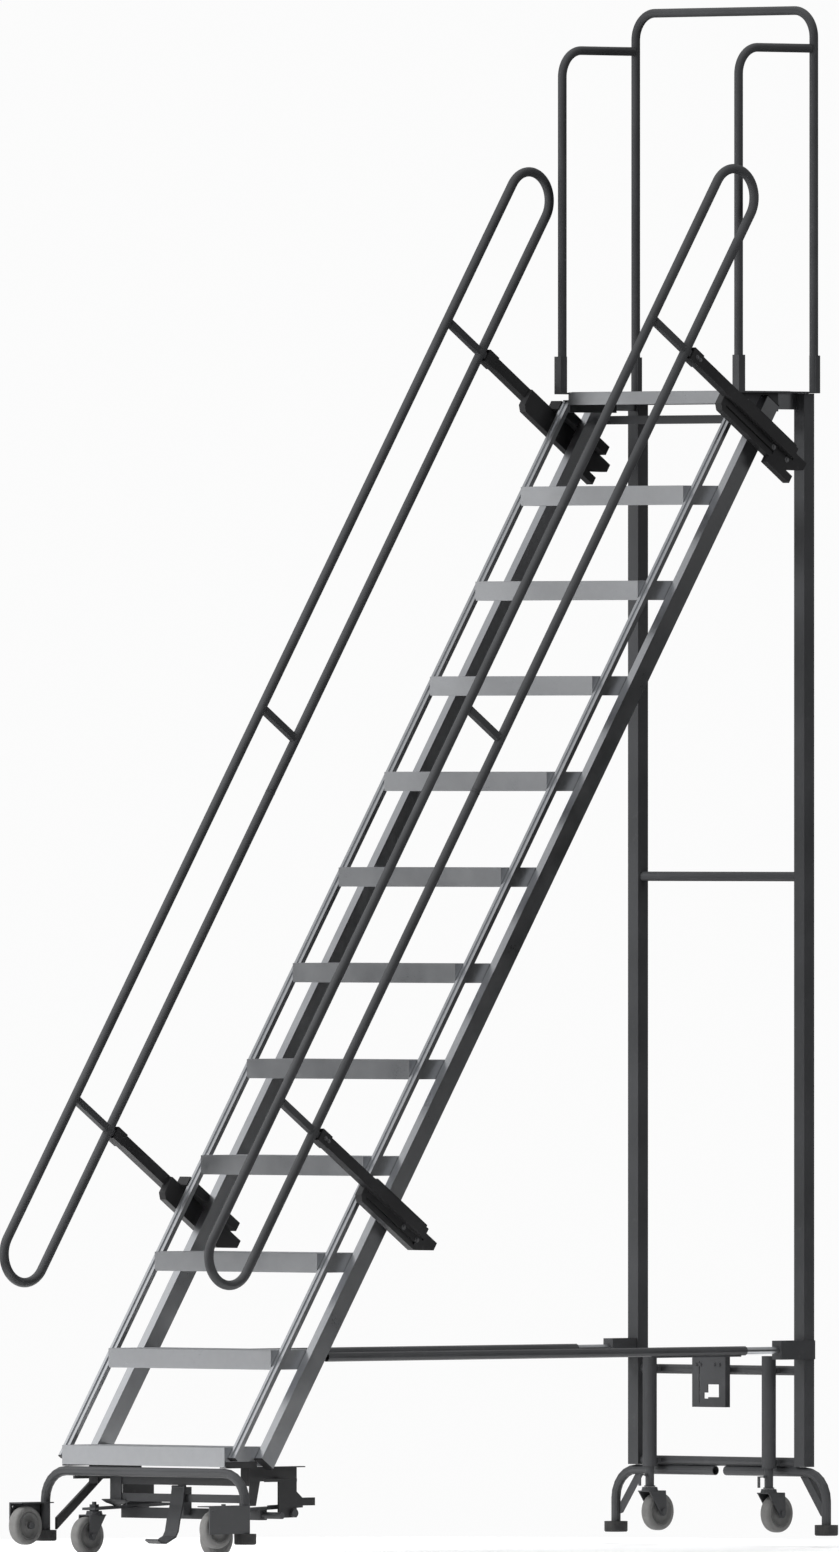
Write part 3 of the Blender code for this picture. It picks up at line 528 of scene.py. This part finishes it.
def flange_shade_sheets():
    """Thin dark sheets on each face of the platform's end flanges, where the rails meet it: painted shade
    for the flanges' shaded part.
    """
    for name, side in SIDES:
        shape = bmesh.new()
        for faces in ((0.3049, 0.3053), (0.3019, 0.3022)):
            box(shape, sorted(side * x for x in faces), (1.903, 2.079), (2.9945, 3.0455))
        show(f"flange_shade_sheet_{name}", shape, "ladder", (steel,))


def sleeve_bolts():
    """Clamp bolts on each sleeve's collar and on the slotted plate below it."""
    for name, side in SIDES:
        outward = (side, 0, 0)
        for place, along in ARMS.items():
            shape = bmesh.new()
            for across in (-0.111, -0.124):
                point = loop_point(side, COLLAR_X, along + 0.003, across)
                bolt(shape, point, outward, across=0.0042, tall=0.0034, washer=0.006)
            for across in (-0.560, -0.500):
                point = loop_point(side, SLOTTED_PLATE_X, along - 0.0200, across)
                bolt(shape, point, outward, across=0.0050)
            show(f"sleeve_bolts_{place}_{name}", shape, "ladder", (dull_zinc,), angle=30)


def latch_bolts():
    """A row of bolts along the top of the latch plate."""
    shape = bmesh.new()
    for x in (-0.046, -0.030, 0.022, 0.041):
        point = Vector((x, LATCH_FACE_Y, LATCH_BOLTS_Z))
        bolt(shape, point, (0, -1, 0), across=0.0040, tall=0.0030, washer=0.0056)
    show("latch_bolts", shape, "ladder", (steel,), angle=30)


def welds():
    """Raised weld beads where the struts and arms meet the loops, and a bead round each loop's seam."""
    for name, side in SIDES:
        shape = bmesh.new()
        for along in STRUTS:
            for across, way in ((LOOP_HALF, -1), (-LOOP_HALF, 1)):
                start = across + way * 0.0094
                ring = [(0.0093, start), (0.0122, start)]
                ring += [(0.0118, start + way * 0.0032), (0.0094, start + way * 0.0050)]
                turned(shape, ring, loop_point(side, LOOP_X, along, 0), LOOP_OUT, 24)
        seam = loop_point(side, LOOP_X, LOOP_SEAM, -LOOP_HALF)
        bead = [(0.0120, -0.0022), (0.0131, -0.0016), (0.0134, 0), (0.0131, 0.0016), (0.0120, 0.0022)]
        turned(shape, bead, seam, LOOP_UP, 24)
        show(f"loop_welds_{name}", shape, f"handrail_{name}", (steel,), angle=50)


wheels()
handrails()
guard_rails()
rail_ends()
tread_ribs()
flange_shade_sheets()
sleeve_bolts()
latch_bolts()
welds()


# ---- Floor, light and camera ----


def background():
    """A near-white backdrop; what the metal reflects is lighter in front than behind the ladder."""
    world = bpy.data.worlds.new("studio")
    world.use_nodes = True
    bpy.context.scene.world = world
    tree = world.node_tree
    tree.nodes.clear()
    place = add(tree, "ShaderNodeTexCoord").outputs["Generated"]
    toward = add(tree, "ShaderNodeVectorMath", {0: place, 1: (-0.66, -0.66, 0.36)}, operation="DOT_PRODUCT")
    sideways = spread(tree, toward.outputs["Value"], 0.012, 0.23, -0.80, 0.70)
    height = add(tree, "ShaderNodeSeparateXYZ", {0: place}).outputs["Z"]
    overhead = spread(tree, height, 0.0, 0.80, 0.36, 0.92)
    level = add(tree, "ShaderNodeMath", {0: sideways, 1: overhead}, operation="ADD").outputs[0]
    seen = add(tree, "ShaderNodeBackground", {"Color": (1, 1, 1, 1), "Strength": 0.97})
    given = add(tree, "ShaderNodeBackground", {"Color": (0.98, 0.99, 1, 1), "Strength": level})
    camera_ray = add(tree, "ShaderNodeLightPath").outputs["Is Camera Ray"]
    both = add(tree, "ShaderNodeMixShader", {0: camera_ray, 1: given.outputs[0], 2: seen.outputs[0]})
    output = add(tree, "ShaderNodeOutputWorld")
    tree.links.new(both.outputs[0], output.inputs["Surface"])


def lamp(name, place, aim, size, power, glossy):
    """A soft lamp that either lights surfaces or, if glossy, only shows in their reflections."""
    data = bpy.data.lights.new(name, "AREA")
    data.shape = "RECTANGLE"
    data.size, data.size_y = size
    data.energy = power
    item = bpy.data.objects.new(name, data)
    item.location = place
    item.rotation_euler = (Vector(aim) - Vector(place)).to_track_quat("-Z", "Y").to_euler()
    item.visible_camera = False
    item.visible_glossy = glossy
    item.visible_diffuse = not glossy
    bpy.context.scene.collection.objects.link(item)


def lamps():
    """Lamps for the dull surfaces, then weak panels that only the metal mirrors."""
    lamp("key_high", (-2.2, -4.4, 4.6), (0, 0, 2.9), (2.6, 2.2), 330, False)
    lamp("key_low", (-1.8, -5.2, 1.2), (0, -0.9, 0.6), (2.4, 1.6), 150, False)
    lamp("side_high", (4.6, 1.2, 3.9), (0, 0.6, 2.8), (2.0, 2.0), 78, False)
    lamp("side_low", (4.6, -0.4, 0.9), (0, -0.2, 0.7), (2.0, 1.4), 24, False)
    lamp("back_fill", (-2.2, 5.0, 3.4), (0, 0.4, 1.8), (2.6, 2.6), 150, False)
    lamp("front_panel_high", (-3.0, -2.0, 2.8), (0, 0.7, 2.8), (2.4, 1.7), 8.0, True)
    lamp("front_panel_low", (-2.8, -3.6, 0.2), (0, -0.8, 0.4), (2.4, 0.8), 5.6, True)
    lamp("side_panel_high", (3.2, 3.4, 3.1), (0.3, 0.6, 3.0), (1.8, 1.0), 1.0, True)
    lamp("side_panel_low", (3.2, 2.6, 0.7), (0.3, -0.3, 0.8), (1.8, 1.1), 0.9, True)


def floor():
    """A round pale paper floor, a little self-lit so that it stays near the backdrop's white."""
    made, tree, shader = shader_of("floor_paper", Roughness=0.9, Specular_IOR_Level=0.1)
    tint = spread(tree, noise(tree, (1, 1, 1), 2.2, 3), (0.86, 0.86, 0.86), (0.90, 0.90, 0.90))
    tree.links.new(tint, shader.inputs["Base Color"])
    shader.inputs["Emission Color"].default_value = (1, 1, 1, 1)
    shader.inputs["Emission Strength"].default_value = 0.10
    shape = bmesh.new()
    bmesh.ops.create_circle(shape, cap_ends=True, segments=96, radius=1.9)
    mesh = bpy.data.meshes.new("floor")
    shape.to_mesh(mesh)
    shape.free()
    mesh.materials.append(made)
    item = bpy.data.objects.new("floor", mesh)
    item.location = (0, 0, -0.0005)
    bpy.context.scene.collection.objects.link(item)


def camera():
    """A long lens from far away, level, at 45 degrees to the ladder's side."""
    data = bpy.data.cameras.new("view")
    data.lens = 900
    data.sensor_width = 36
    item = bpy.data.objects.new("view", data)
    bpy.context.scene.collection.objects.link(item)
    view_height = 4.1206
    distance = view_height * data.lens / data.sensor_width
    look = Vector((-math.sin(math.pi / 4), math.cos(math.pi / 4), 0))
    aim = Vector((-0.0025, 1.0330, 2.0213)) + SHIFT
    item.location = aim - look * distance
    item.rotation_euler = look.to_track_quat("-Z", "Y").to_euler()
    data.clip_start, data.clip_end = 10, 200
    bpy.context.scene.camera = item
    bpy.context.scene.view_settings.view_transform = "Standard"


background()
lamps()
floor()
camera()
